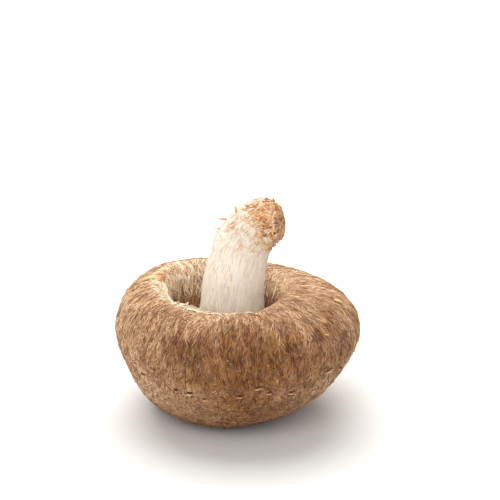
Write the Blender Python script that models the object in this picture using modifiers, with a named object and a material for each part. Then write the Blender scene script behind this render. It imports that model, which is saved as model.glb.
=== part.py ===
"""An upturned shiitake mushroom: a thick cap with a rolled-in rim, its ring of gills and its bent stem.

It rests on the flattened crown of its cap, stem up. +X is the side that the cut foot faces, +Y is the
back, and the origin is on the surface it stands on, at the middle of the cap's outline. Lengths are in
metres. A mushroom grows unevenly, so the cap and the gills are first turned evenly round the stem's
axis, and grown() then moves their points out to the lopsided shape.
"""

import math

import bmesh
import bpy
from mathutils import Vector

MM = 0.001
GAP = 0.3 * MM  # between neighbouring pieces

# Where the stem's axis stands, which everything below is measured from.
AXIS = Vector((-1.6 * MM, -0.4 * MM, 0.0))

# The cap as turned. Heights are above the surface that the crown rests on.
CAP_RADIUS = 30.2 * MM
CAP_HEIGHT = 32.3 * MM
WIDEST_HEIGHT = 21.2 * MM
REST_RADIUS = 5.8 * MM
CREST_RADIUS = 18.5 * MM
MOUTH_RADIUS = 13.2 * MM
MOUTH_HEIGHT = 25.1 * MM
LIP_RADIUS = 1.3 * MM
HOLLOW_RADIUS = 18.0 * MM
HOLLOW_FLOOR = 13.0 * MM
CAP_STEPS = 60

# The gills, which stand on the hollow's floor with their free edges up.
GILL_COUNT = 80
GILL_INNER_RADIUS = 9.8 * MM
GILL_OUTER_RADIUS = HOLLOW_RADIUS - GAP
GILL_INNER_TOP = 18.0 * MM
GILL_OUTER_TOP = 19.5 * MM
GILL_GROOVE = 1.8 * MM

# The stem's centre line from the hollow's floor to its foot, as (x, y, z, radius) from the axis.
STEM_LINE = (
    (-0.4 * MM, 0.0, HOLLOW_FLOOR + GAP, 8.9 * MM),
    (-0.4 * MM, 0.0, 18.5 * MM, 8.4 * MM),
    (0.0, 0.0, 27.5 * MM, 7.9 * MM),
    (0.5 * MM, 0.0, 34.0 * MM, 7.5 * MM),
    (1.9 * MM, 0.0, 41.0 * MM, 7.0 * MM),
    (3.7 * MM, -0.2 * MM, 45.2 * MM, 6.6 * MM),
    (6.1 * MM, -0.7 * MM, 48.2 * MM, 6.3 * MM),
    (9.0 * MM, -1.4 * MM, 49.6 * MM, 5.9 * MM),
    (13.0 * MM, -2.3 * MM, 50.0 * MM, 4.4 * MM),
)
STEM_RESOLUTION = 3  # stretches of the tube between two of those points
STEM_BEVEL_RESOLUTION = 12

# The knife's cut across the foot.
CUT_POINT = AXIS + Vector((12.0 * MM, -2.1 * MM, 49.8 * MM))
CUT_NORMAL = Vector((0.96, -0.21, 0.19)).normalized()
CUTTER_SIDE = 30.0 * MM

CAP_COLOUR = (0.26, 0.13, 0.065)
GILL_COLOUR = (0.72, 0.58, 0.40)
STEM_COLOUR = (0.80, 0.68, 0.53)


def clear_scene():
    for thing in list(bpy.data.objects):
        bpy.data.objects.remove(thing, do_unlink=True)


def new_collection(name):
    made = bpy.data.collections.new(name)
    bpy.context.scene.collection.children.link(made)
    return made


def plain_material(name, colour, roughness):
    made = bpy.data.materials.new(name)
    made.use_nodes = True
    shader = made.node_tree.nodes["Principled BSDF"]
    shader.inputs["Base Color"].default_value = (*colour, 1.0)
    shader.inputs["Roughness"].default_value = roughness
    shader.inputs["Metallic"].default_value = 0.0
    return made


def smooth_step(value, low, high):
    share = min(max((value - low) / (high - low), 0.0), 1.0)
    return share * share * (3.0 - 2.0 * share)


def outline_swell(theta):
    """How far the cap's outer wall lies beyond the even circle, in the direction theta."""
    broad = 1.4 * math.cos(theta) + 0.2 * math.cos(2.0 * theta)
    return (broad - 0.2 * math.sin(2.0 * theta) - 0.4 * math.sin(3.0 * theta)) * MM


def mouth_swell(theta):
    """How far the rim's mouth lies beyond the even circle, in the direction theta."""
    return (0.5 - 2.6 * math.cos(theta) - 0.8 * math.cos(2.0 * theta)) * MM


def belly_swell(theta):
    """How far the wall halfway between the crown and the widest ring lies beyond the even ellipse."""
    return (-0.8 - 0.7 * math.cos(theta) - 0.6 * math.cos(2.0 * theta)) * MM


def crest_lift(theta):
    """How far the rim's crest stands above its even height, in the direction theta."""
    tilt = -0.7 * math.cos(theta) - 0.6 * math.sin(theta)
    return (tilt + 0.6 * math.cos(2.0 * theta) - 0.4 * math.sin(2.0 * theta)) * MM


def grown(point):
    """Where a point of the evenly turned shape, round the stem's axis, lies on the lopsided one."""
    radius = math.hypot(point.x, point.y)
    theta = math.atan2(point.y, point.x)
    outer = smooth_step(radius, MOUTH_RADIUS, CAP_RADIUS)
    inner = min(radius / MOUTH_RADIUS, 1.0) ** 4 * (1.0 - outer)
    belly = outer * math.sin(math.pi * min(point.z / WIDEST_HEIGHT, 1.0))
    radius += outer * outline_swell(theta) + inner * mouth_swell(theta) + belly * belly_swell(theta)
    height = point.z + crest_lift(theta) * smooth_step(point.z, 0.0, CAP_HEIGHT)
    return AXIS + Vector((radius * math.cos(theta), radius * math.sin(theta), height))


def grow(thing):
    for vertex in thing.data.vertices:
        vertex.co = grown(vertex.co)


def arc(centre, semi_axes, start, end, count):
    """Points (r, z) on an ellipse, from start to end in degrees, the first left out."""
    points = []
    for step in range(1, count + 1):
        turn = math.radians(start + (end - start) * step / count)
        offset = (semi_axes[0] * math.cos(turn), semi_axes[1] * math.sin(turn))
        points.append((centre[0] + offset[0], centre[1] + offset[1]))
    return points


def cap_profile():
    """Half the cap's section, from the middle of the hollow's floor round the rim to the crown."""
    lip_centre = (MOUTH_RADIUS + LIP_RADIUS, MOUTH_HEIGHT)
    rise = (CREST_RADIUS - MOUTH_RADIUS, CAP_HEIGHT - MOUTH_HEIGHT)
    fall = (CAP_RADIUS - CREST_RADIUS, CAP_HEIGHT - WIDEST_HEIGHT)
    belly = (CAP_RADIUS - REST_RADIUS, WIDEST_HEIGHT)
    points = [(0.0, HOLLOW_FLOOR), (HOLLOW_RADIUS, HOLLOW_FLOOR)]
    points += [(HOLLOW_RADIUS, MOUTH_HEIGHT - 2.0 * LIP_RADIUS)]
    points += arc(lip_centre, (LIP_RADIUS, LIP_RADIUS), 310, 180, 4)
    points += arc((CREST_RADIUS, MOUTH_HEIGHT), rise, 180, 90, 6)
    points += arc((CREST_RADIUS, WIDEST_HEIGHT), fall, 90, 0, 8)
    points += arc((REST_RADIUS, WIDEST_HEIGHT), belly, 0, -90, 10)
    points += [(0.0, 0.0)]
    return points


def gill_profile():
    """The gill ring's whole section, a closed outline that goes round the same way as the cap's."""
    middle = 0.5 * (GILL_INNER_RADIUS + GILL_OUTER_RADIUS)
    foot = HOLLOW_FLOOR + GAP
    return [
        (GILL_INNER_RADIUS, GILL_INNER_TOP),
        (middle, GILL_OUTER_TOP),
        (GILL_OUTER_RADIUS, GILL_OUTER_TOP),
        (GILL_OUTER_RADIUS, foot),
        (GILL_INNER_RADIUS, foot),
    ]


def turned(name, profile, steps, closed):
    """A profile of (r, z) points turned round Z."""
    mesh = bpy.data.meshes.new(name)
    edges = [(i, i + 1) for i in range(len(profile) - 1)]
    if closed:
        edges.append((len(profile) - 1, 0))
    mesh.from_pydata([(r, 0.0, z) for r, z in profile], edges, [])
    thing = bpy.data.objects.new(name, mesh)
    bpy.context.scene.collection.objects.link(thing)
    screw = thing.modifiers.new("Turn", "SCREW")
    screw.steps = screw.render_steps = steps
    screw.use_merge_vertices = True
    screw.merge_threshold = 0.00001
    return thing


def stem_tube():
    """The uncut stem, as a curve whose bevel follows the radii of its line."""
    curve = bpy.data.curves.new("stem_tube", "CURVE")
    curve.dimensions = "3D"
    curve.bevel_depth = 1.0
    curve.bevel_resolution = STEM_BEVEL_RESOLUTION
    curve.resolution_u = curve.render_resolution_u = STEM_RESOLUTION
    curve.use_fill_caps = True
    spline = curve.splines.new("BEZIER")
    spline.bezier_points.add(len(STEM_LINE) - 1)
    for point, (x, y, z, radius) in zip(spline.bezier_points, STEM_LINE):
        point.co = AXIS + Vector((x, y, z))
        point.radius = radius
        point.handle_left_type = point.handle_right_type = "AUTO"
    thing = bpy.data.objects.new("stem_tube", curve)
    bpy.context.scene.collection.objects.link(thing)
    return thing


def baked(thing, collection, name):
    """The evaluated mesh of a helper object as a new object, with the helper removed."""
    graph = bpy.context.evaluated_depsgraph_get()
    mesh = bpy.data.meshes.new_from_object(thing.evaluated_get(graph))
    mesh.transform(thing.matrix_world)
    bpy.data.objects.remove(thing, do_unlink=True)
    mesh.name = name
    made = bpy.data.objects.new(name, mesh)
    collection.objects.link(made)
    return made


def weld(thing):
    shape = bmesh.new()
    shape.from_mesh(thing.data)
    bmesh.ops.remove_doubles(shape, verts=shape.verts, dist=0.01 * MM)
    shape.to_mesh(thing.data)
    shape.free()


def finish(thing, material, sharp_angle):
    thing.data.materials.clear()
    thing.data.materials.append(material)
    thing.data.shade_smooth()
    thing.data.set_sharp_from_angle(angle=math.radians(sharp_angle))


def make_cap(parts):
    cap = baked(turned("cap_turned", cap_profile(), CAP_STEPS, closed=False), parts, "cap")
    grow(cap)
    finish(cap, plain_material("cap_skin", CAP_COLOUR, 0.75), 50.0)


def make_gills(parts):
    """A pleated ring: every other line of its top, one for each blade, is sunk into a groove."""
    gills = baked(turned("gills_turned", gill_profile(), 2 * GILL_COUNT, closed=True), parts, "gills")
    for vertex in gills.data.vertices:
        if vertex.co.z > HOLLOW_FLOOR + 2.0 * GAP:
            turn = math.atan2(vertex.co.y, vertex.co.x)
            vertex.co.z -= GILL_GROOVE * 0.5 * (1.0 - math.cos(GILL_COUNT * turn))
    grow(gills)
    finish(gills, plain_material("gill_flesh", GILL_COLOUR, 0.8), 20.0)


def make_foot_cutter(cutters):
    """A box whose lower side is the cut across the foot."""
    bpy.ops.mesh.primitive_cube_add(size=CUTTER_SIDE)
    cutter = bpy.context.object
    cutter.name = "foot_cutter"
    cutter.location = CUT_POINT + CUT_NORMAL * 0.5 * CUTTER_SIDE
    cutter.rotation_euler = CUT_NORMAL.to_track_quat("Z", "Y").to_euler()
    cutter.hide_render = True
    cutter.display_type = "WIRE"
    for holder in list(cutter.users_collection):
        holder.objects.unlink(cutter)
    cutters.objects.link(cutter)
    return cutter


def make_stem(parts, cutter):
    stem = baked(stem_tube(), parts, "stem")
    weld(stem)
    cut = stem.modifiers.new("Foot", "BOOLEAN")
    cut.operation = "DIFFERENCE"
    cut.solver = "EXACT"
    cut.object = cutter
    finish(stem, plain_material("stem_flesh", STEM_COLOUR, 0.8), 50.0)


def main():
    clear_scene()
    parts = new_collection("shiitake_mushroom")
    cutters = new_collection("cutters")
    make_cap(parts)
    make_gills(parts)
    make_stem(parts, make_foot_cutter(cutters))


main()
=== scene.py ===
"""The looks of an upturned shiitake mushroom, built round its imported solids.

The cap, the gills and the stem are modelled evenly round the stem's axis and then moved to the lopsided
shape that they grew into, by the same rules as the solids they stand for. Lengths are in metres, but for
those that are said to be in millimetres.
"""

import math

import bpy
import numpy as np
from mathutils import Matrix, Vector, noise
from mathutils.bvhtree import BVHTree


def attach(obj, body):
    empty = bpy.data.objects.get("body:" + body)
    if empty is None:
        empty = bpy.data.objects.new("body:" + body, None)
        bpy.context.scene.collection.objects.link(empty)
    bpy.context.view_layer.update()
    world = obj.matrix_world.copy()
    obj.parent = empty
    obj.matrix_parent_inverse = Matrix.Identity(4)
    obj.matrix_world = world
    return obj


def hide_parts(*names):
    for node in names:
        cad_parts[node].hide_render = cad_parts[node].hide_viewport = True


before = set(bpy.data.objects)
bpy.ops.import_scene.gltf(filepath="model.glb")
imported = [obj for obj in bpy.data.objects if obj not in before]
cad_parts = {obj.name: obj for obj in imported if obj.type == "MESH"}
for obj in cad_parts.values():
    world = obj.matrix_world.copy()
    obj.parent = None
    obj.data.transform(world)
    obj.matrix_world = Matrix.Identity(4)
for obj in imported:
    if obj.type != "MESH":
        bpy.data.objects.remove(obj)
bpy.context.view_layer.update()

MM = 0.001
ROOT = "root"

# The stem's axis, and the cap as it would be turned evenly round it.
AXIS = np.array((-1.6 * MM, -0.4 * MM, 0.0))
CAP_RADIUS = 30.2 * MM
CAP_HEIGHT = 32.3 * MM
WIDEST_HEIGHT = 21.2 * MM
REST_RADIUS = 5.8 * MM
CREST_RADIUS = 18.5 * MM
MOUTH_RADIUS = 13.2 * MM
MOUTH_HEIGHT = 25.1 * MM
LIP_RADIUS = 1.2 * MM
HOLLOW_RADIUS = 18.0 * MM
HOLLOW_FLOOR = 13.0 * MM

# The stem's centre line from the hollow's floor to its foot, as (x, y, z, radius) from the axis.
STEM_LINE = np.array(
    (
        (-0.4, 0.0, 13.2, 8.9),
        (-0.4, 0.0, 18.5, 8.4),
        (0.0, 0.0, 27.5, 7.9),
        (0.5, 0.0, 34.0, 7.5),
        (1.9, 0.0, 41.0, 7.0),
        (3.7, -0.2, 45.2, 6.6),
        (6.1, -0.7, 48.2, 6.3),
        (9.0, -1.4, 49.6, 5.9),
        (11.2, -2.0, 50.0, 4.6),
    )
) * MM
CUT_NORMAL = np.array((0.96, -0.21, 0.19)) / np.linalg.norm((0.96, -0.21, 0.19))

DROOP = 4.4  # how far the rim's inner edge hangs down on its far side, in millimetres
DROOP_TURN = 0.3  # from its middle to the far side's, anticlockwise in radians

CAP_SIDES = 160
STEM_SIDES = 96
SMOOTHING = 2  # levels of subdivision
CAP_GRAIN_RADIUS = 24.0 * MM  # of the cylinder that the cap's grain is measured on
STEM_GRAIN_RADIUS = 7.5 * MM  # and the stem's
STEM_RISE = 60.0 * MM  # the straight stem's length before it is bent
STEM_RADIUS = 8.0 * MM  # and its radius
FOOT_DOME = ((0.96, 0.25), (0.86, 0.58), (0.72, 0.84), (0.54, 1.02), (0.34, 1.12), (0.15, 1.15))

FULL_TURN = 2.0 * np.pi
FIBRE_STEPS = 5  # of the bends in each fibre
FIBRE_TIP = np.linspace(0.0, 1.0, FIBRE_STEPS + 1)[None, :]  # 0 at each fibre's root, 1 at its tip

rng = np.random.default_rng(7)


# -------- growth


def smooth_step(value, low, high):
    share = np.clip((value - low) / (high - low), 0.0, 1.0)
    return share * share * (3.0 - 2.0 * share)


def outline_swell(theta):
    broad = 1.4 * np.cos(theta) + 0.2 * np.cos(2.0 * theta)
    return (broad - 0.2 * np.sin(2.0 * theta) - 0.4 * np.sin(3.0 * theta)) * MM


def mouth_swell(theta):
    return (0.5 - 2.6 * np.cos(theta) - 0.8 * np.cos(2.0 * theta)) * MM


def belly_swell(theta):
    return (-0.8 - 0.7 * np.cos(theta) - 0.6 * np.cos(2.0 * theta)) * MM


def crest_lift(theta):
    tilt = -0.7 * np.cos(theta) - 0.6 * np.sin(theta)
    return (tilt + 0.6 * np.cos(2.0 * theta) - 0.4 * np.sin(2.0 * theta)) * MM


def lip_droop(radius, theta, height):
    """How far the rim's inner edge hangs down on its far side."""
    inside = 1.0 - smooth_step(radius, MOUTH_RADIUS + LIP_RADIUS, CREST_RADIUS)
    above = smooth_step(height, 17.5 * MM, 24.5 * MM)
    below = 1.0 - smooth_step(height, 25.0 * MM, 30.0 * MM)
    far_side = np.maximum(np.sin(theta - DROOP_TURN), 0.0)
    return inside * above * below * far_side * DROOP * MM


def grown(radius, theta, height):
    """Where points of the evenly turned cap lie on the lopsided one."""
    outer = smooth_step(radius, MOUTH_RADIUS, CAP_RADIUS)
    inner = np.minimum(radius / MOUTH_RADIUS, 1.0) ** 4 * (1.0 - outer)
    belly = outer * np.sin(np.pi * np.clip(height / WIDEST_HEIGHT, 0.0, 1.0))
    far = radius + outer * outline_swell(theta) + inner * mouth_swell(theta)
    far = far + belly * belly_swell(theta)
    high = height + crest_lift(theta) * smooth_step(height, 0.0, CAP_HEIGHT)
    high = high - lip_droop(radius, theta, height)
    return np.stack((AXIS[0] + far * np.cos(theta), AXIS[1] + far * np.sin(theta), high), axis=-1)


# -------- modelling helpers


def select_none():
    for thing in bpy.context.selected_objects:
        thing.select_set(False)


def edit():
    bpy.ops.object.mode_set(mode="EDIT")


def done():
    bpy.ops.object.mode_set(mode="OBJECT")


def subdivide(thing):
    """Rounds the active object."""
    finer = thing.modifiers.new("Finer", "SUBSURF")
    finer.levels = finer.render_levels = SMOOTHING
    bpy.ops.object.modifier_apply(modifier=finer.name)


def vectors_of(mesh, name):
    flat = np.zeros(len(mesh.vertices) * 3, np.float32)
    mesh.vertices.foreach_get(name, flat)
    return flat.reshape(-1, 3).astype(float)


def points_of(mesh):
    return vectors_of(mesh, "co")


def normals_of(mesh):
    return vectors_of(mesh, "normal")


def move_points(mesh, places):
    mesh.vertices.foreach_set("co", np.asarray(places, np.float32).ravel())
    mesh.update()


def numbers_of(mesh, name):
    values = np.zeros(len(mesh.vertices), np.float32)
    mesh.attributes[name].data.foreach_get("value", values)
    return values.astype(float)


def give_numbers(mesh, name, values):
    layer = mesh.attributes.new(name, "FLOAT", "POINT")
    layer.data.foreach_set("value", np.asarray(values, np.float32).ravel())


def give_vectors(mesh, name, values):
    layer = mesh.attributes.new(name, "FLOAT_VECTOR", "POINT")
    layer.data.foreach_set("vector", np.asarray(values, np.float32).ravel())


def arc(centre, semi_axes, start, end, count):
    """Points (r, z) on an ellipse, from start to end in degrees, the first left out."""
    turns = np.radians(start + (end - start) * np.arange(1, count + 1) / count)
    return [
        (centre[0] + semi_axes[0] * math.cos(turn), centre[1] + semi_axes[1] * math.sin(turn))
        for turn in turns
    ]


def lengths_of(profile):
    steps = np.hypot(*np.diff(np.array(profile), axis=0).T)
    return np.concatenate(((0.0,), np.cumsum(steps)))


def turned(name, profile, sides):
    """A closed skin drawn up ring by ring from a circle.

    The length along its profile is kept as the attribute along.
    """
    select_none()
    radius, height = profile[0]
    bpy.ops.mesh.primitive_circle_add(
        vertices=sides, radius=radius, fill_type="NOTHING", location=(AXIS[0], AXIS[1], height)
    )
    thing = bpy.context.object
    thing.name = thing.data.name = name
    bpy.ops.object.transform_apply(location=True, rotation=False, scale=False)
    edit()
    bpy.ops.mesh.select_all(action="SELECT")
    for radius_now, height_now in profile[1:]:
        bpy.ops.mesh.extrude_edges_move(TRANSFORM_OT_translate={"value": (0.0, 0.0, height_now - height)})
        bpy.ops.transform.resize(
            value=(radius_now / radius, radius_now / radius, 1.0),
            center_override=(AXIS[0], AXIS[1], height_now),
        )
        radius, height = radius_now, height_now
    done()
    rings = np.arange(len(thing.data.vertices)) // sides
    give_numbers(thing.data, "along", lengths_of(profile)[rings])
    subdivide(thing)
    close_ends()
    return thing


def bisected(axis, sections):
    """Cuts the active object across, into even sections from 0 to 1 along axis."""
    edit()
    for cut in range(1, sections):
        bpy.ops.mesh.select_all(action="SELECT")
        bpy.ops.mesh.bisect(plane_co=tuple(part * cut / sections for part in axis), plane_no=axis)
    done()


def close_ends():
    """Draws each open end of the active object in to a point, and turns its faces outwards."""
    edit()
    bpy.ops.mesh.select_all(action="DESELECT")
    bpy.ops.mesh.select_non_manifold()
    bpy.ops.mesh.extrude_edges_move(TRANSFORM_OT_translate={"value": (0.0, 0.0, 0.0)})
    bpy.ops.mesh.merge(type="COLLAPSE")
    bpy.ops.mesh.select_all(action="SELECT")
    bpy.ops.mesh.normals_make_consistent(inside=False)
    done()


def hill(place, scale, shift=0.0):
    """Smooth noise from -1 to 1 at each place, with features about scale millimetres across.

    Two patterns of one place are told apart by their shift.
    """
    return np.array([noise.noise(Vector(row)) for row in (place + shift) / (np.asarray(scale) * MM)])


def as_surface(thing):
    """A search tree over a mesh object's faces."""
    mesh = thing.data
    faces = [tuple(face.vertices) for face in mesh.polygons]
    return BVHTree.FromPolygons([vertex.co for vertex in mesh.vertices], faces)


def new_piece(name, places, faces, material, smooth=True):
    mesh = bpy.data.meshes.new(name)
    mesh.from_pydata(places.tolist(), [], faces)
    thing = bpy.data.objects.new(name, mesh)
    bpy.context.scene.collection.objects.link(thing)
    finished(thing, material, smooth)
    return thing


def finished(thing, material, smooth=True):
    thing.data.materials.append(material)
    if smooth:
        thing.data.shade_smooth()
    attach(thing, ROOT)


# -------- fibres


def fibre_model():
    """One fibre along X, a unit long and wide: three sides with the ridge up, tapered to both tips."""
    select_none()
    bpy.ops.mesh.primitive_cylinder_add(
        vertices=3, radius=0.5, depth=1.0, end_fill_type="TRIFAN", location=(0.5, 0.0, 0.0)
    )
    thing = bpy.context.object
    bpy.ops.object.transform_apply(location=True, rotation=False, scale=False)
    mesh = thing.data
    places = points_of(mesh)
    move_points(mesh, np.stack((places[:, 2] + 0.5, places[:, 0] - 0.5, places[:, 1]), axis=1))
    bisected((1.0, 0.0, 0.0), FIBRE_STEPS)
    places = points_of(mesh)
    width = np.sin(np.pi * np.clip(0.05 + 0.9 * places[:, 0], 0.0, 1.0)) ** 0.7
    places[:, 1:] *= width[:, None]
    corners = [tuple(face.vertices) for face in mesh.polygons]
    bpy.data.objects.remove(thing, do_unlink=True)
    return places, corners


FIBRE = fibre_model()


def crossed(first, second):
    """The unit vectors square to first and second."""
    made = np.cross(first, second)
    return made / np.maximum(np.linalg.norm(made, axis=-1, keepdims=True), 1e-12)


def walked(tree, starts, headings, length, turn):
    """Spines that set out over a surface from starts, and its normals along them.

    turn is how much they bend at random at each step.
    """
    bend = rng.normal(0.0, turn, (len(starts), FIBRE_STEPS + 1))
    spines = np.zeros((len(starts), FIBRE_STEPS + 1, 3))
    ups = np.zeros_like(spines)
    for index, (start, heading) in enumerate(zip(starts, headings)):
        here, up = tree.find_nearest(Vector(start))[:2]
        way = Vector(heading)
        stride = length[index] / FIBRE_STEPS
        for step in range(FIBRE_STEPS + 1):
            spines[index, step] = here
            ups[index, step] = up
            way = way - up * way.dot(up)
            way.normalize()
            way = way + up.cross(way) * bend[index, step]
            way.normalize()
            here, up = tree.find_nearest(here + way * stride)[:2]
    return spines, ups


def laid(spines, ups, width, thickness, lift):
    """Copies of the fibre laid along spines. lift holds each point's height above the surface."""
    places, corners = FIBRE
    share = np.clip(places[:, 0], 0.0, 1.0) * FIBRE_STEPS
    first = np.minimum(share.astype(int), FIBRE_STEPS - 1)
    part = (share - first)[None, :, None]
    raised = spines + ups * lift[:, :, None]
    middle = raised[:, first] * (1.0 - part) + raised[:, first + 1] * part
    up = ups[:, first] * (1.0 - part) + ups[:, first + 1] * part
    way = raised[:, first + 1] - raised[:, first]
    side = crossed(up, way)
    across = places[None, :, 1, None] * width[:, None, None]
    upward = places[None, :, 2, None] * thickness[:, None, None]
    points = (middle + side * across + crossed(way, side) * upward).reshape(-1, 3)
    points[:, 2] = np.maximum(points[:, 2], 0.0)
    count = len(places)
    faces = [
        tuple(corner + count * copy for corner in face)
        for copy in range(len(spines))
        for face in corners
    ]
    return points, faces


def fibre_piece(name, walk, width, flatness, lift, finish, slot="cap_skin", **values):
    """One piece of fibres laid along walk, with each of values kept as a number for every fibre.

    width and lift are in millimetres. A lift of one row is the same for every fibre.
    """
    lift = np.broadcast_to(lift * MM, (len(width), FIBRE_STEPS + 1))
    width = width * MM
    points, faces = laid(*walk, width, width * flatness, lift)
    piece = new_piece(name, points, faces, finish)
    for kept, value in values.items():
        give_numbers(piece.data, kept, np.repeat(value, len(FIBRE[0])))


def lying(count, hump, loft, rare):
    """Heights along each fibre: sunk at the root, humped in the middle, and a few with their tips up."""
    raised = rng.random(count)[:, None] ** rare
    return -0.02 + hump * np.sin(np.pi * FIBRE_TIP) + loft * raised * FIBRE_TIP**2


def any_angle(count):
    return rng.random(count) * FULL_TURN


# -------- materials


class Nodes:
    """A new material's node tree, with short calls for the nodes that the finishes need."""

    def __init__(self, name):
        self.material = bpy.data.materials.new(name)
        self.material.use_nodes = True
        self.tree = self.material.node_tree

    def feed(self, inputs, values):
        """Gives inputs their values, each a number, a vector, a colour or another node's output."""
        for key, value in values.items():
            if isinstance(value, bpy.types.NodeSocket):
                self.tree.links.new(value, inputs[key])
            elif value is not None:
                inputs[key].default_value = value

    def new(self, kind, values, **settings):
        node = self.tree.nodes.new(kind)
        for name, value in settings.items():
            setattr(node, name, value)
        self.feed(node.inputs, values)
        return node

    def object_place(self):
        return self.new("ShaderNodeTexCoord", {}).outputs["Object"]

    def attribute(self, name, output="Fac"):
        return self.new("ShaderNodeAttribute", {}, attribute_name=name).outputs[output]

    def scaled(self, vector, scale):
        return self.new("ShaderNodeVectorMath", {0: vector, 1: scale}, operation="MULTIPLY").outputs[0]

    def added(self, vector, other):
        return self.new("ShaderNodeVectorMath", {0: vector, 1: other}, operation="ADD").outputs[0]

    def math(self, operation, first, second=0.0):
        return self.new("ShaderNodeMath", {0: first, 1: second}, operation=operation).outputs[0]

    def noise(self, vector, scale, detail=3.0, roughness=0.5, output="Fac"):
        values = {"Vector": vector, "Scale": scale, "Detail": detail, "Roughness": roughness}
        return self.new("ShaderNodeTexNoise", values).outputs[output]

    def ramp(self, value, stops):
        """The colour at value on a ramp, whose stops are pairs of a position and a colour."""
        node = self.new("ShaderNodeValToRGB", {"Fac": value})
        elements = node.color_ramp.elements
        while len(elements) < len(stops):
            elements.new(0.5)
        for element, (position, colour) in zip(elements, stops):
            element.position = position
            element.color = colour
        return node.outputs["Color"]

    def level(self, value, low, high, least=0.0, most=1.0):
        """value from low to high as a number from least to most."""
        values = {"Value": value, "From Min": low, "From Max": high, "To Min": least, "To Max": most}
        return self.new("ShaderNodeMapRange", values, interpolation_type="SMOOTHSTEP").outputs["Result"]

    def spread(self, value, least, most):
        """A noise's usual range as a number from least to most."""
        return self.level(value, 0.3, 0.7, least, most)

    def mix(self, share, first, second):
        """The colour first with a share of second in it."""
        return self.new("ShaderNodeMix", {0: share, 6: first, 7: second}, data_type="RGBA").outputs[2]

    def bump(self, height, distance, strength=1.0, below=None):
        values = {"Height": height, "Distance": distance, "Strength": strength, "Normal": below}
        return self.new("ShaderNodeBump", values).outputs[0]

    def finish(self, colour, roughness, normal=None, sheen=0.0, subsurface=0.0):
        values = {
            "Base Color": colour,
            "Roughness": roughness,
            "Normal": normal,
            "Sheen Weight": sheen,
            "Sheen Roughness": 0.6,
            "Subsurface Weight": subsurface,
            "Subsurface Radius": (1.0, 0.55, 0.3),
            "Subsurface Scale": 0.002,
            "Specular IOR Level": 0.3,
        }
        self.feed(self.tree.nodes["Principled BSDF"].inputs, values)
        return self.material


def shade_of(red, green, blue):
    """A display colour, 0 to 255, as the linear one that a shader takes."""
    linear = (
        value / 255 / 12.92 if value <= 10 else ((value / 255 + 0.055) / 1.055) ** 2.4
        for value in (red, green, blue)
    )
    return *linear, 1.0


def stops_of(*rows):
    """A ramp from one colour to the next, each row a position and a display colour."""
    return [(position, shade_of(*colour)) for position, *colour in rows]


DARK_BROWNS = stops_of((0.0, 76, 38, 8), (0.35, 98, 58, 28), (1.0, 150, 106, 68))
PALE_BROWNS = stops_of((0.0, 150, 96, 44), (0.35, 180, 132, 86), (1.0, 242, 206, 166))
CREAM = stops_of((0.0, 196, 156, 114), (0.45, 234, 208, 174), (1.0, 252, 240, 220))
PEACH = stops_of((0.0, 204, 144, 88), (0.5, 234, 190, 140), (1.0, 252, 238, 214))
FLECK = stops_of((0.0, 150, 98, 54), (0.6, 192, 138, 86), (1.0, 220, 170, 116))
# Painted shade: the dark inside the tears' slits and the shadow under the torn fold.
PAINTED_SHADE_BROWNS = stops_of((0.0, 46, 26, 14), (1.0, 84, 50, 28))
# Painted shade: the gills darken towards their roots, between the blades; their free edges are cream.
GILL_CREAM_AND_SHADE = stops_of((0.0, 206, 152, 100), (0.6, 248, 216, 172), (1.0, 254, 238, 208))
STEM = stops_of((0.30, 229, 210, 186), (0.45, 242, 228, 208), (0.62, 250, 242, 230))
STEM_FIBRE = stops_of((0.0, 232, 212, 186), (0.3, 244, 230, 212), (1.0, 252, 246, 236))
FOOT_FACE = stops_of(
    (0.36, 66, 36, 20), (0.43, 124, 78, 46), (0.50, 176, 126, 84), (0.58, 208, 164, 118),
    (0.70, 234, 202, 162),
)
FOOT_FLAKE = stops_of(
    (0.0, 108, 60, 28), (0.16, 170, 108, 62), (0.34, 208, 144, 90), (0.62, 228, 182, 136),
    (1.0, 242, 214, 180),
)
AMBER = shade_of(112, 62, 22)
STEM_PAINTED_LIGHT = shade_of(255, 241, 221)
STEM_TAN = shade_of(226, 188, 140)
STEM_BLUSH = shade_of(222, 176, 132)
STEM_ORANGE = shade_of(202, 132, 80)
GILL_TAN = shade_of(220, 170, 114)
# What is let into the brown: the scale and the stretch of its patches, its colour, and its share.
MINGLED = (
    (520.0, (0.00, 0.00, 0.00), shade_of(168, 122, 66), 0.36),
    (640.0, (0.52, 0.78, 0.65), shade_of(142, 80, 50), 0.48),
    (430.0, (1.16, 1.74, 1.45), shade_of(134, 108, 92), 0.42),
)


def hair_lines(nodes, value, width):
    """1 along the lines where a noise is at its middle, falling to 0 on both sides: curling hairs."""
    away = nodes.math("ABSOLUTE", nodes.math("SUBTRACT", value, 0.5))
    return nodes.level(away, 0.0, width, 1.0, 0.0)


def weighed(nodes, *pairs):
    """The sum of values, each times its weight."""
    total = None
    for value, weight in pairs:
        part = nodes.math("MULTIPLY", value, weight)
        total = part if total is None else nodes.math("ADD", total, part)
    return total


def skin_browns(nodes, tone):
    """The dark and the pale brown of the cap's skin, from its darkest tone (0) to its palest (1); the tone
    holds painted light and shade as well as the skin's own colour.
    """
    return nodes.ramp(tone, DARK_BROWNS), nodes.ramp(tone, PALE_BROWNS)


def mingled(nodes, place, colour):
    """A brown with olive, rust and ash grey let into it in small patches."""
    for scale, stretch, tint, most in MINGLED:
        moved = nodes.added(place, nodes.scaled(place, stretch))
        patch = nodes.level(nodes.noise(moved, scale, 2.0, 0.6), 0.52, 0.70, 0.0, most)
        colour = nodes.mix(patch, colour, tint)
    return colour


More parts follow.
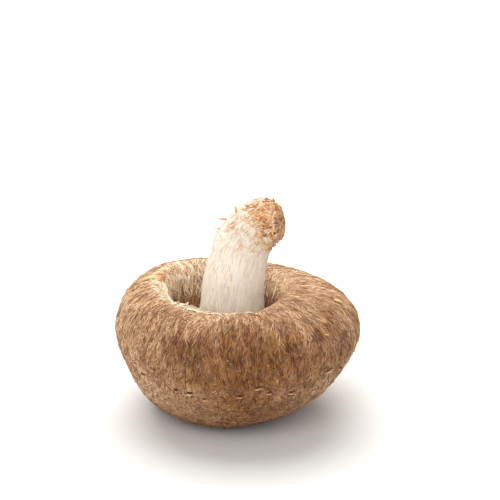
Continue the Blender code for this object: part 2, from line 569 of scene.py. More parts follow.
def cap_skin():
    """The felted skin: combed hairs on the rim and the flank, matted ones on the crown."""
    nodes = Nodes("cap_skin_felted")
    grain = nodes.attribute("grain", "Vector")
    zone = nodes.attribute("zone")
    # tone: the skin's own paleness together with painted light and shade, from skin_tone.
    tone = nodes.attribute("tone")
    place = nodes.object_place()
    curl = nodes.scaled(nodes.noise(grain, 760.0, 2.0, output="Color"), (0.0012, 0.0012, 0.0010))
    wander = nodes.scaled(nodes.noise(grain, 170.0, 1.0, output="Color"), (0.0032, 0.0032, 0.0))
    woven = nodes.added(nodes.added(grain, curl), wander)
    fibrils = nodes.noise(nodes.scaled(woven, (1.0, 1.0, 0.20)), 2500.0, 3.0, 0.6)
    strands = hair_lines(nodes, nodes.noise(nodes.scaled(woven, (1.0, 1.0, 0.20)), 1250.0, 2.0), 0.085)
    across = nodes.scaled(nodes.noise(grain, 420.0, 1.0, output="Color"), (0.0034, 0.0034, 0.0016))
    crossing = nodes.scaled(nodes.added(grain, across), (1.0, 1.0, 0.30))
    crossings = hair_lines(nodes, nodes.noise(crossing, 980.0, 2.0), 0.07)
    felted = nodes.added(place, nodes.scaled(curl, (1.4, 1.4, 1.4)))
    felt = nodes.noise(felted, 1250.0, 4.0, 0.62)
    curls = hair_lines(nodes, nodes.noise(felted, 800.0, 3.0, 0.6), 0.06)
    combed = weighed(nodes, (fibrils, 0.62), (strands, 0.20), (crossings, 0.18))
    matted = weighed(nodes, (felt, 0.66), (curls, 0.20), (fibrils, 0.14))
    crown = nodes.level(zone, 0.37, 0.54)
    texture = nodes.mix(crown, combed, matted)
    dark, pale = skin_browns(nodes, tone)
    colour = nodes.mix(nodes.level(texture, 0.29, 0.60), dark, pale)
    clouds = nodes.noise(nodes.scaled(woven, (1.0, 1.0, 0.5)), 330.0, 3.0, 0.6)
    amber = nodes.level(clouds, 0.44, 0.66, 0.0, 0.62)
    colour = nodes.mix(amber, colour, AMBER)
    colour = mingled(nodes, place, colour)
    fine = nodes.bump(texture, 0.00034, 0.8)
    rough = nodes.bump(clouds, 0.0003, 0.5, fine)
    return nodes.finish(colour, nodes.level(texture, 0.2, 0.8, 0.72, 0.92), rough, sheen=0.1)


def fibre_finish(name, stops=None, smoothest=0.67, roughest=0.83):
    """Fibres each of its own shade, with a little change along it.

    Their colour runs over stops from one fibre to the next, or over the skin's own browns.
    """
    nodes = Nodes(name)
    place = nodes.object_place()
    speck = nodes.noise(place, 900.0, 2.0)
    shade = nodes.math("ADD", nodes.attribute("shade"), nodes.spread(speck, -0.12, 0.12))
    if stops:
        colour = nodes.ramp(shade, stops)
    else:
        # The tone holds painted light and shade as well as the skin's own colour.
        dark, pale = skin_browns(nodes, nodes.attribute("tone"))
        colour = mingled(nodes, place, nodes.mix(nodes.level(shade, 0.0, 1.0), dark, pale))
    fine = nodes.bump(nodes.noise(place, 5200.0, 2.0), 0.00005, 0.6)
    return nodes.finish(colour, nodes.spread(speck, smoothest, roughest), fine)


def stem_skin():
    """Pale fibrous flesh that blushes towards the foot, whose cut face is browned.

    Its lower part in the hollow is painted whiter as light, and its grooves a little darker as shade.
    """
    nodes = Nodes("stem_flesh_fibrous")
    grain = nodes.attribute("grain", "Vector")
    share = nodes.attribute("zone")
    cut = nodes.attribute("cut")
    relief = nodes.attribute("relief")
    place = nodes.object_place()
    curl = nodes.scaled(nodes.noise(grain, 900.0, 2.0, output="Color"), (0.0005, 0.0005, 0.0))
    woven = nodes.scaled(nodes.added(grain, curl), (1.0, 1.0, 0.08))
    lines = nodes.noise(woven, 3000.0, 3.0, 0.6)
    blotch = nodes.noise(nodes.scaled(grain, (1.0, 1.0, 0.6)), 420.0, 3.0, 0.6)
    specks = nodes.noise(place, 1700.0, 3.0, 0.6)
    chips = nodes.noise(place, 620.0, 3.0, 0.55)
    # Painted shade: through relief the stem's grooves are a little darker than its ridges.
    base = nodes.ramp(weighed(nodes, (lines, 0.75), (relief, 0.25)), STEM)
    # Painted light: the stem's lower part, down in the hollow, is painted whiter.
    base = nodes.mix(nodes.level(share, 0.30, 0.50, 0.75, 0.0), base, STEM_PAINTED_LIGHT)
    base = nodes.mix(nodes.level(blotch, 0.58, 0.76, 0.0, 0.34), base, STEM_TAN)
    ragged = nodes.math("ADD", share, nodes.spread(chips, -0.12, 0.12))
    near_foot = nodes.level(ragged, 0.58, 0.88)
    blush = nodes.math("MULTIPLY", near_foot, nodes.level(specks, 0.36, 0.62, 0.5, 0.9))
    base = nodes.mix(blush, base, STEM_BLUSH)
    orange = nodes.math("MULTIPLY", near_foot, nodes.level(chips, 0.47, 0.58, 0.0, 0.85))
    base = nodes.mix(orange, base, STEM_ORANGE)
    face = nodes.ramp(weighed(nodes, (specks, 0.55), (chips, 0.45)), FOOT_FACE)
    browned = nodes.level(weighed(nodes, (chips, 1.3), (cut, 0.62)), 0.98, 1.14)
    base = nodes.mix(browned, base, face)
    fine = nodes.bump(lines, 0.00018, 0.7)
    rough = nodes.bump(specks, 0.00014, 0.45, fine)
    return nodes.finish(base, nodes.spread(specks, 0.62, 0.82), rough, subsurface=0.1)


def gill_finish():
    nodes = Nodes("gill_blades_cream")
    place = nodes.object_place()
    specks = nodes.noise(place, 700.0, 3.0, 0.6)
    pores = nodes.noise(place, 3400.0, 2.0, 0.6)
    # Painted shade: each blade is darker towards its root on the hollow's floor.
    edge = nodes.ramp(nodes.attribute("zone"), GILL_CREAM_AND_SHADE)
    colour = nodes.mix(nodes.level(specks, 0.5, 0.75, 0.0, 0.4), edge, GILL_TAN)
    fine = nodes.bump(pores, 0.00006, 0.6)
    return nodes.finish(colour, nodes.spread(specks, 0.6, 0.8), fine, subsurface=0.15)


# -------- the cap


def cap_profile():
    """Half the cap's section, from the middle of the hollow's floor round the rim to the crown."""
    corner = HOLLOW_RADIUS - MM
    lip_centre = (MOUTH_RADIUS + LIP_RADIUS, MOUTH_HEIGHT)
    rise = (CREST_RADIUS - MOUTH_RADIUS, CAP_HEIGHT - MOUTH_HEIGHT)
    fall = (CAP_RADIUS - CREST_RADIUS, CAP_HEIGHT - WIDEST_HEIGHT)
    belly = (CAP_RADIUS - REST_RADIUS, WIDEST_HEIGHT)
    points = [(4.0 * MM, HOLLOW_FLOOR), (12.0 * MM, HOLLOW_FLOOR), (corner, HOLLOW_FLOOR)]
    points += arc((corner, HOLLOW_FLOOR + MM), (MM, MM), -90, 0, 2)
    points += [(HOLLOW_RADIUS, 18.0 * MM), (HOLLOW_RADIUS, MOUTH_HEIGHT - 2.2 * LIP_RADIUS)]
    points += arc(lip_centre, (LIP_RADIUS, LIP_RADIUS), 310, 180, 4)
    points += arc((CREST_RADIUS, MOUTH_HEIGHT), rise, 180, 90, 7)
    points += arc((CREST_RADIUS, WIDEST_HEIGHT), fall, 90, 0, 9)
    points += arc((REST_RADIUS, WIDEST_HEIGHT), belly, 0, -90, 12)
    points += [(3.0 * MM, 0.0), (1.0 * MM, 0.0)]
    return points


CAP_PROFILE = cap_profile()
CAP_RADII, CAP_HEIGHTS = np.array(CAP_PROFILE).T
CAP_LENGTHS = lengths_of(CAP_PROFILE)
LIP_START = CAP_LENGTHS[7]  # where the skin begins, under the lip


def cap_zone(along):
    """0 at the lip, 1 at the middle of the crown."""
    return np.clip((along - LIP_START) / (CAP_LENGTHS[-1] - LIP_START), 0.0, 1.0)


def along_of(zone):
    return LIP_START + zone * (CAP_LENGTHS[-1] - LIP_START)


def cap_place(along, theta):
    """Where a length along the profile lies on the grown cap, before its relief."""
    radius = np.interp(along, CAP_LENGTHS, CAP_RADII)
    return grown(radius, theta, np.interp(along, CAP_LENGTHS, CAP_HEIGHTS))


def grain_of(along, theta):
    """A place on the cylinder that the cap's skin would unroll to, for its patterns to follow."""
    return np.stack((CAP_GRAIN_RADIUS * np.cos(theta), CAP_GRAIN_RADIUS * np.sin(theta), along), axis=-1)


def hump_between(zone, first, last):
    """1 midway between two zones of the cap, falling to 0 at both and beyond them."""
    return np.sin(np.pi * np.clip((zone - first) / (last - first), 0.0, 1.0))


def facing(theta, degrees):
    """1 where theta is at degrees, falling to 0 a quarter turn away on both sides."""
    return np.maximum(np.cos(theta - np.radians(degrees)), 0.0)


def skin_tone(zone, theta):
    """How pale the skin is drawn: most on the rim and the left, least in the band below the rim.

    This is partly the skin's own colour and partly painted light: the rim's top and the flanks facing left
    and right are painted paler, as the light falling on them, and the band below the rim darker, as it
    turns from the light. The inner wall by the lip is painted darker, most on the right, as shade in the
    hollow.
    """
    place = grain_of(along_of(zone), theta)
    fingers = 0.08 * hill(place, (1.2, 1.2, 9.0))
    # Partly painted light: the rim's top is paler and the band below it darker than the skin's own colour,
    # as light from above falls on them.
    rim = 1.0 - smooth_step(zone + fingers, 0.19, 0.32)
    under = smooth_step(zone, 0.42, 0.52) * (1.0 - 0.6 * smooth_step(zone, 0.58, 0.85))
    # Partly painted light: the flanks facing left and right are paler, as the light that falls on them.
    left = facing(theta, 188.0) ** 1.5
    right = facing(theta, 10.0)
    side = (0.95 * left + 0.70 * right) * (1.0 - smooth_step(zone, 0.5, 0.8))
    patches = hill(place, (8.0, 8.0, 12.0))
    mottle = hill(place, (1.7, 1.7, 2.6), 0.02)
    streaks = hill(place, (0.9, 0.9, 4.4), 0.05) * smooth_step(zone, 0.05, 0.12)
    streaks = streaks * (1.0 - 0.7 * smooth_step(zone, 0.46, 0.60))
    slope = hump_between(zone, 0.06, 0.30) * facing(theta, 38.0) ** 3
    # Painted shade: the inner wall by the lip is darkened as the shade in the hollow, more on the right.
    painted_hollow_shade = (0.36 + 0.35 * right) * (1.0 - smooth_step(zone, 0.03, 0.12))
    tone = 0.85 * rim + 0.31 * under + side * (1.0 - rim) - painted_hollow_shade + 0.16 * patches + 0.18 * mottle
    tone = tone + 0.36 * streaks + 0.24 * slope
    return np.clip(tone, 0.0, 1.0)


def make_cap():
    cap = turned("cap_flesh_and_skin", CAP_PROFILE, CAP_SIDES)
    mesh = cap.data
    places = points_of(mesh) - AXIS
    along = numbers_of(mesh, "along")
    theta = np.arctan2(places[:, 1], places[:, 0])
    move_points(mesh, grown(np.hypot(places[:, 0], places[:, 1]), theta, places[:, 2]))
    zone = cap_zone(along)
    grain = grain_of(along, theta)
    drift = hill(grain, 4.0)[:, None] * np.array((1.4, 1.4, 0.0)) * MM
    tufts = hill(grain + drift, (0.95, 0.95, 3.4))
    lumps = hill(points_of(mesh), 7.5)
    knobs = hill(points_of(mesh), 1.0, 0.02)
    skin = smooth_step(zone, 0.0, 0.06)
    fibrous = skin * (1.0 - 0.8 * smooth_step(zone, 0.40, 0.66))
    knobbly = (0.05 + 0.05 * smooth_step(zone, 0.4, 0.55)) * knobs * skin
    standing = 1.0 - smooth_step(zone, 0.9, 0.98)
    height = fibrous * 0.12 * tufts + 0.30 * lumps * skin + knobbly
    move_points(mesh, points_of(mesh) + normals_of(mesh) * (height * standing)[:, None] * MM)
    flat = points_of(mesh)
    flat[:, 2] = np.maximum(flat[:, 2], 0.0)
    move_points(mesh, flat)
    give_vectors(mesh, "grain", grain)
    give_numbers(mesh, "zone", zone)
    give_numbers(mesh, "tone", skin_tone(zone, theta))
    finished(cap, cap_skin())
    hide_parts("cap")
    return cap


def cap_roots(count, first, last):
    """Random places on the cap's skin between two zones, evenly by area, as (along, theta)."""
    steps = np.linspace(along_of(first), along_of(last), 200)
    reach = np.cumsum(np.interp(steps, CAP_LENGTHS, CAP_RADII))
    along = np.interp(rng.random(count) * reach[-1], reach, steps)
    return along, any_angle(count)


def cap_walk(tree, along, theta, yaw, length, turn):
    """Spines over the cap, their lengths in millimetres.

    A yaw of 0 runs out from the lip to the crown, one of 90 degrees anticlockwise round the cap.
    """
    starts = cap_place(along, theta)
    ways = cap_place(along + 0.5 * MM, theta) - starts
    ways = ways / np.linalg.norm(ways, axis=1, keepdims=True)
    sides = np.stack((-np.sin(theta), np.cos(theta), np.zeros_like(theta)), axis=-1)
    headings = ways * np.cos(yaw)[:, None] + sides * np.sin(yaw)[:, None]
    return walked(tree, starts, headings, length * MM, turn)


# The felt of the skin: how many fibres, the zones they grow in, how much their directions spread and how
# much they bend, their lengths and their greatest width in millimetres, and their shades.
FELT = (
    ("cap_fibrils_rim", 4800, (0.02, 0.36), 0.28, 0.15, (1.4, 3.6), 0.22, (0.0, 1.0)),
    ("cap_fibrils_flank", 5000, (0.30, 0.60), 0.38, 0.20, (1.2, 2.8), 0.22, (0.0, 1.0)),
    ("cap_fibrils_crown", 5000, (0.52, 0.90), 1.40, 0.34, (0.8, 2.2), 0.28, (0.0, 1.0)),
    ("cap_strands_pale", 1900, (0.06, 0.46), 0.24, 0.14, (1.8, 4.6), 0.44, (0.55, 1.1)),
    ("cap_strands_dark", 1900, (0.16, 0.56), 0.24, 0.14, (1.6, 4.0), 0.42, (-0.2, 0.3)),
    ("cap_curls_pale", 2000, (0.42, 0.88), 1.40, 0.42, (0.9, 2.4), 0.36, (0.7, 1.4)),
    ("cap_curls_dark", 1300, (0.42, 0.88), 1.40, 0.42, (0.6, 1.6), 0.40, (-0.5, 0.1)),
)


def make_felt(tree):
    for name, count, zones, spread, turn, lengths, widest, shades in FELT:
        along, theta = cap_roots(count, *zones)
        swirl = hill(grain_of(along, theta), 8.0) * 0.7
        loose = 1.0 + 2.6 * smooth_step(cap_zone(along), 0.40, 0.56)
        yaw = swirl + rng.normal(0.0, spread, count) * loose
        clump = 0.60 * hill(grain_of(along, theta), (1.1, 1.1, 3.8), 0.03)
        walk = cap_walk(tree, along, theta, yaw, rng.uniform(*lengths, count), turn)
        # The fibres take the skin's tone, painted light and shade included.
        fibre_piece(
            name, walk, rng.uniform(0.45 * widest, widest, count), 0.55, lying(count, 0.06, 0.5, 9),
            fibre_finish(name, smoothest=0.7, roughest=0.88),
            shade=rng.uniform(*shades, count) + clump, tone=skin_tone(cap_zone(along), theta),
        )


# -------- the veil


def veil_zone(degrees):
    """Where the veil tore away, at each angle round the rim."""
    return np.interp(degrees, (165.0, 200.0, 225.0, 270.0, 290.0), (0.100, 0.106, 0.128, 0.138, 0.140))


def veil_shades(degrees):
    """Shades that darken towards the near side."""
    return rng.uniform(0.35, 1.0, len(degrees)) - 0.55 * smooth_step(degrees, 226.0, 262.0)


def make_veil_web(tree):
    """The web on the rim's inner slopes, dense on the left and thin on the right."""
    count = 1350
    along = cap_roots(count, 0.07, 0.19)[0]
    right = rng.random(count) < 0.14
    along = np.where(right, along_of(rng.uniform(0.11, 0.21, count)), along)
    spread = rng.normal(0.0, 0.8, count) * np.where(right, 0.4, 1.0)
    theta = np.radians(np.where(right, 48.0, 154.0)) + spread
    yaw = np.pi + rng.normal(0.0, 0.40, count)
    walk = cap_walk(tree, along, theta, yaw, rng.uniform(1.8, 4.6, count), 0.16)
    fibre_piece(
        "veil_web", walk, rng.uniform(0.14, 0.38, count), 0.6, lying(count, 0.16, 0.6, 5),
        fibre_finish("veil_web_cream", CREAM), shade=rng.random(count) * np.where(right, 0.5, 1.0),
    )


def make_veil_edge(tree):
    """The torn edge that runs round the near side of the rim."""
    count = 170
    degrees = 168.0 + 112.0 * rng.beta(1.6, 2.4, count)
    along = along_of(veil_zone(degrees) + rng.normal(0.0, 0.005, count))
    yaw = np.radians(90.0) + rng.normal(0.0, 0.14, count)
    walk = cap_walk(tree, along, np.radians(degrees), yaw, rng.uniform(2.0, 4.6, count), 0.05)
    fibre_piece(
        "veil_edge", walk, rng.uniform(0.35, 0.7, count), 0.7, lying(count, 0.34, 0.5, 3),
        fibre_finish("veil_edge_cream", CREAM), shade=veil_shades(degrees),
    )


def make_veil_lip(tree):
    """Broad shreds of the veil that stand up from its edge on the left."""
    count = 180
    degrees = rng.uniform(208.0, 254.0, count)
    along = along_of(veil_zone(degrees) - 0.004)
    yaw = np.radians(rng.normal(122.0, 14.0, count))
    walk = cap_walk(tree, along, np.radians(degrees), yaw, rng.uniform(1.8, 3.4, count), 0.08)
    steep = rng.uniform(0.8, 1.5, (count, 1)) * smooth_step(degrees, 260.0, 236.0)[:, None]
    fibre_piece(
        "veil_lip", walk, rng.uniform(0.9, 1.6, count), 0.25, 0.15 + steep * FIBRE_TIP,
        fibre_finish("veil_lip_cream", CREAM), shade=rng.uniform(0.35, 1.0, count),
    )


def make_veil_tatters(tree):
    """Short tatters that point into the hollow from the veil's edge."""
    count = 460
    degrees = 186.0 + 98.0 * rng.beta(1.8, 2.4, count)
    along = along_of(veil_zone(degrees) - 0.004 + rng.normal(0.0, 0.006, count))
    yaw = np.pi + rng.normal(0.0, 0.5, count)
    walk = cap_walk(tree, along, np.radians(degrees), yaw, rng.uniform(0.8, 2.6, count), 0.12)
    fibre_piece(
        "veil_tatters", walk, rng.uniform(0.22, 0.5, count), 0.45, lying(count, 0.14, 0.9, 2),
        fibre_finish("veil_tatter_cream", CREAM), shade=veil_shades(degrees),
    )


def make_margin_fringe(tree):
    """The fringe all round the lip, at the bottom of the rim's inner slope."""
    count = 700
    theta = any_angle(count)
    along = along_of(rng.uniform(0.0, 0.04, count))
    yaw = np.pi + rng.normal(0.0, 0.6, count)
    walk = cap_walk(tree, along, theta, yaw, rng.uniform(0.8, 2.8, count), 0.2)
    fibre_piece(
        "margin_fringe", walk, rng.uniform(0.16, 0.4, count), 0.5, lying(count, 0.10, 0.8, 2),
        fibre_finish("margin_fringe_cream", CREAM), shade=rng.random(count),
    )


# -------- tears and flecks on the cap

# The flaps of torn skin and veil, one by one: their angle round the cap in degrees, their zone, their yaw
# in degrees, their length and width and how far their tips stand up in millimetres, and their shade.
TORN_FLAPS = (
    (217.0, 0.124, 90.0, 6.0, 1.1, 1.7, 1.1),
    (218.5, 0.119, 93.0, 5.0, 0.9, 0.3, 1.1),
    (221.0, 0.113, 97.0, 3.8, 0.8, 0.1, 1.1),
    (176.0, 0.235, 195.0, 6.8, 0.9, 0.6, 0.45),
    (177.0, 0.226, 192.0, 6.0, 0.8, 0.4, 0.6),
    (174.8, 0.228, 199.0, 5.6, 0.7, 0.5, 0.35),
    (178.0, 0.214, 188.0, 4.8, 0.6, 0.4, 0.6),
    (171.5, 0.168, 205.0, 3.2, 1.4, 1.0, 0.1),
    (170.5, 0.172, 212.0, 2.8, 1.1, 1.2, 0.0),
    (173.0, 0.190, 198.0, 4.0, 0.6, 0.5, 0.2),
    (347.0, 0.26, 20.0, 2.8, 1.1, 0.3, 0.45),
    (318.0, 0.33, 60.0, 1.2, 0.5, 0.3, 0.3),
    (150.0, 0.14, 120.0, 2.0, 0.8, 0.6, 0.3),
)
# The dark strips between them, as painted shadow under the torn fold, in the same way, but with no tips
# that stand up.
TORN_FOLD_SHADOWS = (
    (179.4, 0.222, 192.0, 4.6, 0.5, 0.7),
    (178.6, 0.196, 194.0, 4.2, 0.55, 0.5),
    (176.6, 0.176, 200.0, 3.0, 0.45, 0.9),
)


def make_torn_flaps(tree):
    """The veil's curled tip over the near rim, and the torn fold on top of the left one with its painted
    shadow.
    """
    degrees, zone, yaw, length, width, rise, shade = np.array(TORN_FLAPS).T
    walk = cap_walk(tree, along_of(zone), np.radians(degrees), np.radians(yaw), length, 0.02)
    lift = 0.12 + 0.3 * np.sin(np.pi * FIBRE_TIP) + rise[:, None] * FIBRE_TIP**3
    fibre_piece(
        "torn_flaps", walk, width, 0.5, lift, fibre_finish("torn_flap_peach", PEACH),
        shade=shade,
    )
    degrees, zone, yaw, length, width, shade = np.array(TORN_FOLD_SHADOWS).T
    walk = cap_walk(tree, along_of(zone), np.radians(degrees), np.radians(yaw), length, 0.02)
    fibre_piece(
        "torn_fold_shadow", walk, width, 0.3, 0.07, fibre_finish("torn_fold_painted_shadow", PAINTED_SHADE_BROWNS),
        shade=shade,
    )


TEAR_ZONE = 0.482  # of the wavering line that the tears lie on
TEAR_GAP = 0.52 * MM  # from a slit to its pale lip


def make_tears(tree):
    """Short tears across the lower skin, each a dark slit of painted shade over a pale lip."""
    count = 36
    theta = FULL_TURN * (np.arange(count) + rng.uniform(-0.45, 0.45, count)) / count
    along = along_of(TEAR_ZONE + 0.010 * np.sin(3.0 * theta) + rng.uniform(-0.035, 0.035, count))
    yaw = np.radians(90.0) + rng.normal(0.0, 0.14, count)
    length = rng.uniform(0.9, 2.2, count)
    walk = cap_walk(tree, along, theta, yaw, length, 0.03)
    fibre_piece(
        "skin_tear_slits", walk, rng.uniform(0.5, 0.9, count), 0.25, 0.08,
        fibre_finish("skin_tear_painted_shade", PAINTED_SHADE_BROWNS), shade=rng.random(count),
    )
    walk = cap_walk(tree, along + TEAR_GAP, theta, yaw, length * 0.9, 0.03)
    fibre_piece(
        "skin_tear_lips", walk, rng.uniform(0.34, 0.54, count), 0.7,
        0.06 + 0.22 * np.sin(np.pi * FIBRE_TIP),
        fibre_finish("skin_tear_peach", PEACH[:2]), shade=rng.uniform(0.0, 0.8, count),
    )


def make_flecks(tree):
    """Torn specks of skin on the flank and the crown."""
    count = 520
    along, theta = cap_roots(count, 0.36, 0.90)
    walk = cap_walk(tree, along, theta, any_angle(count), rng.uniform(0.35, 1.0, count), 0.2)
    fibre_piece(
        "skin_flecks", walk, rng.uniform(0.2, 0.42, count), 0.6, lying(count, 0.12, 0.4, 3),
        fibre_finish("skin_fleck_peach", FLECK), shade=rng.random(count),
    )


# -------- the stem


def stem_line(share):
    """The centre line's points and radii at shares 0 to 1 of the way to the foot, as a smooth curve."""
    knots = np.linspace(0.0, 1.0, len(STEM_LINE))
    steps = np.diff(STEM_LINE, axis=0)
    slopes = np.vstack((steps[:1], 0.5 * (steps[1:] + steps[:-1]), steps[-1:]))
    place = np.clip(share, 0.0, 1.0) * (len(knots) - 1)
    first = np.minimum(place.astype(int), len(knots) - 2)
    part = (place - first)[..., None]
    ease = 2 * part**3 - 3 * part**2
    return (
        STEM_LINE[first] * (ease + 1) + STEM_LINE[first + 1] * -ease
        + slopes[first] * (part**3 - 2 * part**2 + part) + slopes[first + 1] * (part**3 - part**2)
    )


def stem_frame(share):
    """The centre, the way ahead and the two ways across at each share of the stem's line."""
    centre = stem_line(share)
    ahead = stem_line(np.minimum(share + 0.01, 1.0)) - stem_line(np.maximum(share - 0.01, 0.0))
    ahead = ahead[..., :3] / np.linalg.norm(ahead[..., :3], axis=-1, keepdims=True)
    turn = smooth_step(share, 0.86, 1.0)[..., None]
    ahead = ahead * (1.0 - turn) + CUT_NORMAL * turn
    ahead /= np.linalg.norm(ahead, axis=-1, keepdims=True)
    back = np.broadcast_to(np.array((0.0, 1.0, 0.0)), ahead.shape)
    right = crossed(back, ahead)
    return centre, ahead, right, crossed(ahead, right)


def stem_place(share, theta, out):
    """Where a point of the straight stem lies on the bent one. out is 1 on the skin, 0 at the core."""
    centre, _, right, back = stem_frame(share)
    reach = centre[..., 3] * out
    return (
        AXIS + centre[..., :3]
        + right * (reach * np.cos(theta))[..., None] + back * (reach * np.sin(theta))[..., None]
    )


def make_stem():
    rings = 40
    profile = [(0.35 * STEM_RADIUS, 0.0), (0.8 * STEM_RADIUS, 0.0)]
    profile += [(STEM_RADIUS, STEM_RISE * step / rings) for step in range(rings + 1)]
    profile += [(out * STEM_RADIUS, STEM_RISE + dome * MM) for out, dome in FOOT_DOME]
    stem = turned("stem_flesh", profile, STEM_SIDES)
    mesh = stem.data
    places = points_of(mesh) - AXIS
    theta = np.arctan2(places[:, 1], places[:, 0])
    out = np.hypot(places[:, 0], places[:, 1]) / STEM_RADIUS
    share = places[:, 2] / STEM_RISE
    over = np.maximum(share - 1.0, 0.0) * STEM_RISE
    move_points(mesh, stem_place(np.clip(share, 0.0, 1.0), theta, out) + CUT_NORMAL * over[:, None])
    grain = np.stack(
        (STEM_GRAIN_RADIUS * np.cos(theta), STEM_GRAIN_RADIUS * np.sin(theta), share * STEM_RISE), axis=-1
    )
    drift = hill(grain, 5.0)[:, None] * np.array((0.5, 0.5, 0.0)) * MM
    ribs = hill(grain + drift, (0.6, 0.6, 8.0))
    folds = hill(grain + drift, (2.2, 2.2, 14.0), 0.04)
    lumps = hill(points_of(mesh), 5.5)
    crumbs = hill(points_of(mesh), 1.0, 0.03)
    chips = hill(points_of(mesh), 2.2, 0.05)
    at_foot = smooth_step(share, 0.72, 0.96)
    cut = smooth_step(share, 0.955, 1.012)
    shoulder = np.exp(-(((share - 0.56) / 0.06) ** 2)) * np.maximum(-np.cos(theta), 0.0)
    height = 0.05 * ribs * (1.0 - cut) + 0.13 * folds * (1.0 - cut) + 0.26 * lumps + 0.4 * shoulder
    height = height + at_foot * (0.20 * crumbs + 0.22 * chips) + cut * 0.22 * crumbs
    standing = smooth_step(share, 0.0, 0.05)
    move_points(mesh, points_of(mesh) + normals_of(mesh) * (height * standing)[:, None] * MM)
    give_vectors(mesh, "grain", grain)
    give_numbers(mesh, "zone", np.clip(share, 0.0, 1.0))
    give_numbers(mesh, "cut", cut)
    # relief also paints the grooves darker, as shade.
    give_numbers(mesh, "relief", np.clip(0.5 + 0.5 * ribs, 0.0, 1.0))
    finished(stem, stem_skin())
    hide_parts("stem")
    return stem


def stem_walk(tree, share, theta, yaw, length, turn):
    """Spines over the stem, their lengths in millimetres. A yaw of 0 runs towards the foot."""
    starts = stem_place(share, theta, np.ones_like(share))
    ahead = stem_frame(share)[1]
    across = crossed(ahead, starts - (AXIS + stem_line(share)[:, :3]))
    headings = ahead * np.cos(yaw)[:, None] + across * np.sin(yaw)[:, None]
    return walked(tree, starts, headings, length * MM, turn)


def make_stem_fibres(tree):
    """Fine pale fibres that run up the stem, painted paler low down in the hollow as light."""
    count = 2600
    share = rng.uniform(0.04, 0.88, count)
    theta = any_angle(count)
    yaw = rng.normal(0.0, 0.10, count)
    walk = stem_walk(tree, share, theta, yaw, rng.uniform(1.6, 5.0, count), 0.05)
    fibre_piece(
        "stem_fibres", walk, rng.uniform(0.08, 0.2, count), 0.5, lying(count, 0.05, 0.5, 8),
        fibre_finish("stem_fibre_cream", STEM_FIBRE, 0.57, 0.73), "stem_flesh",
        # Painted light: the fibres low on the stem, in the hollow, are paler.
        shade=0.9 * rng.random(count) + 0.5 * smooth_step(share, 0.50, 0.30),
    )


def make_foot_flakes(tree):
    """Broad flakes on the foot, paler down the stem, a few of them dark on the cut face."""
    count = 520
    share = np.clip(1.0 - np.abs(rng.normal(0.0, 0.115, count)), 0.66, 1.0)
    theta = any_angle(count)
    yaw = np.pi + rng.normal(0.0, 0.7, count)
    walk = stem_walk(tree, share, theta, yaw, rng.uniform(0.9, 2.2, count), 0.10)
    fibre_piece(
        "foot_flakes", walk, rng.uniform(0.45, 1.15, count), 0.16, lying(count, 0.05, 0.6, 5),
        fibre_finish("foot_flake_orange", FOOT_FLAKE, 0.62, 0.78), "stem_flesh",
        shade=rng.uniform(0.16, 0.84, count) + 0.4 * smooth_step(share, 0.89, 0.76)
        - 0.4 * smooth_step(share, 0.88, 0.96) * (rng.random(count) < 0.20),
    )


# The shreds that stand out from the stem, one by one: their share of the way to the foot, their angle round
# it in degrees, their yaw in half turns, their length and width and how far their tips stand up in
# millimetres, and their shade.
STEM_SHREDS = (
    (0.605, 184.0, 0.9, 1.4, 1.0, 1.5, 0.9),
    (0.665, 180.0, 0.95, 1.5, 1.3, 2.0, 0.4),
    (0.725, 188.0, 0.2, 1.5, 1.3, 2.2, 0.75),
    (0.80, 192.0, 0.8, 1.2, 1.1, 1.2, 0.45),
    (0.64, 150.0, 1.0, 1.4, 0.9, 1.0, 0.6),
    (0.70, 215.0, 0.9, 1.4, 0.9, 0.9, 0.8),
    (0.86, 204.0, 0.9, 1.4, 1.0, 1.4, 0.4),
    (0.355, 2.0, 0.9, 0.9, 0.7, 0.6, 1.0),
    (0.335, 356.0, 0.1, 0.8, 0.6, 0.5, 1.0),
    (0.315, 4.0, 0.9, 0.8, 0.7, 0.6, 0.9),
    (0.19, 355.0, 0.8, 1.0, 0.8, 0.7, 1.0),
)


def make_stem_shreds(tree):
    share, degrees, yaw, length, width, rise, shade = np.array(STEM_SHREDS).T
    walk = stem_walk(tree, share, np.radians(degrees), np.pi * yaw, length, 0.03)
    fibre_piece(
        "stem_shreds", walk, width, 0.4, -0.05 + rise[:, None] * FIBRE_TIP**1.4,
        fibre_finish("stem_shred_orange", FOOT_FLAKE, 0.62, 0.78), "stem_flesh", shade=shade,
    )


# -------- the gills


def blade_model():
    """One gill: X from the stem to the rim, Z up to its free edge, a unit each way, thin along Y."""
    select_none()
    bpy.ops.mesh.primitive_cube_add(size=1.0, location=(0.5, 0.0, 0.5))
    thing = bpy.context.object
    bpy.ops.object.transform_apply(location=True, rotation=False, scale=False)
    bisected((1.0, 0.0, 0.0), 8)
    bisected((0.0, 0.0, 1.0), 3)
    places = points_of(thing.data)
    places[:, 1] *= 1.0 - 0.65 * places[:, 2]
    faces = [tuple(face.vertices) for face in thing.data.polygons]
    bpy.data.objects.remove(thing, do_unlink=True)
    return places, faces


GILL_PAIRS = 84  # of a long blade and a short one
GILL_STARTS = (9.35, 13.4)  # how far out the long and the short blades start, in millimetres
GILL_END = 17.6 * MM
GILL_WIDTHS = (0.34, 0.30)


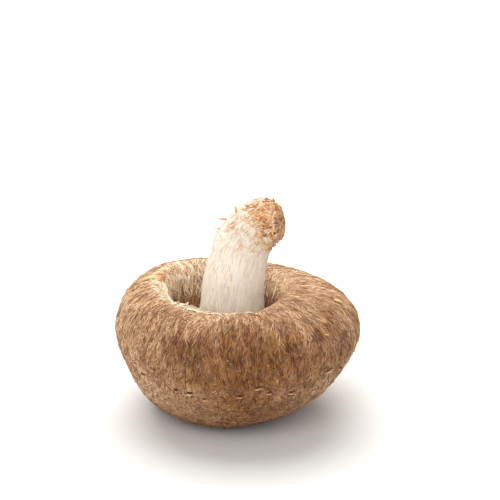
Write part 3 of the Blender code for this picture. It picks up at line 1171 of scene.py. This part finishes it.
def make_gills():
    places, corners = blade_model()
    out, _, up = places.T
    points, faces = [], []
    for number in range(2 * GILL_PAIRS):
        short = number % 2
        theta = np.pi * number / GILL_PAIRS + rng.normal(0.0, 0.006)
        start = GILL_STARTS[short] * MM + rng.uniform(0.0, 1.2) * MM * short
        radius = start + out * (GILL_END - start)
        wave = 0.22 * MM * np.sin(out * 9.0 + number * 1.7) * up
        ripple = 0.2 * MM * np.sin(number * 2.3 + out * 6.0)
        top = (18.4 + 1.0 * out - 0.8 * short) * MM + ripple
        height = (HOLLOW_FLOOR + 0.15 * MM) + up * (top - HOLLOW_FLOOR)
        across = places[:, 1] * GILL_WIDTHS[short] * MM + wave
        points.append(grown(radius, theta + across / radius, height))
        faces += [tuple(corner + number * len(places) for corner in face) for face in corners]
    points = np.concatenate(points)
    gills = new_piece("gill_blades", points, faces, gill_finish(), smooth=False)
    give_numbers(gills.data, "zone", np.tile(up, 2 * GILL_PAIRS))
    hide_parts("gills")


# -------- the stage


def make_floor():
    select_none()
    bpy.ops.mesh.primitive_plane_add(size=6.0, location=(0.0, 0.0, -0.02 * MM))
    floor = bpy.context.object
    floor.name = floor.data.name = "floor"
    bpy.ops.object.transform_apply(location=True, rotation=False, scale=False)
    nodes = Nodes("floor_white_board")
    floor.data.materials.append(nodes.finish((0.72, 0.715, 0.705, 1.0), 0.75))


def make_light(name, place, target, size, energy, colour=(1.0, 1.0, 1.0)):
    data = bpy.data.lights.new(name, "AREA")
    data.shape = "DISK"
    data.size = size
    data.energy = energy
    data.color = colour
    light = bpy.data.objects.new(name, data)
    bpy.context.scene.collection.objects.link(light)
    light.location = place
    way = Vector(target) - Vector(place)
    light.rotation_euler = way.to_track_quat("-Z", "Y").to_euler()


def make_lights():
    world = bpy.data.worlds.new("studio")
    bpy.context.scene.world = world
    world.use_nodes = True
    background = world.node_tree.nodes["Background"]
    background.inputs["Color"].default_value = (1.0, 1.0, 1.0, 1.0)
    background.inputs["Strength"].default_value = 0.66
    middle = (0.0, 0.0, 0.02)
    make_light("overhead", (-0.08, 0.46, 0.86), middle, 1.1, 13.0, (1.0, 0.985, 0.96))
    make_light("front_fill", (-0.24, -0.85, 0.72), middle, 0.9, 5.4)


def make_camera():
    elevation = math.radians(21.1)
    aim = Vector((2.8, -0.4, 41.71)) * MM
    away = 461.0 * MM
    data = bpy.data.cameras.new("camera")
    data.lens = 135.0
    data.sensor_width = 36.0
    data.clip_start = 0.01
    camera = bpy.data.objects.new("camera", data)
    bpy.context.scene.collection.objects.link(camera)
    camera.location = aim + Vector((0.0, -math.cos(elevation), math.sin(elevation))) * away
    camera.rotation_euler = (aim - camera.location).to_track_quat("-Z", "Y").to_euler()
    bpy.context.scene.camera = camera


def main():
    make_camera()
    make_lights()
    make_floor()
    bpy.context.scene.view_settings.view_transform = "Standard"
    cap = make_cap()
    stem = make_stem()
    make_gills()
    on_cap = as_surface(cap)
    make_felt(on_cap)
    make_veil_web(on_cap)
    make_veil_edge(on_cap)
    make_veil_lip(on_cap)
    make_veil_tatters(on_cap)
    make_margin_fringe(on_cap)
    make_torn_flaps(on_cap)
    make_tears(on_cap)
    make_flecks(on_cap)
    on_stem = as_surface(stem)
    make_stem_fibres(on_stem)
    make_foot_flakes(on_stem)
    make_stem_shreds(on_stem)


main()
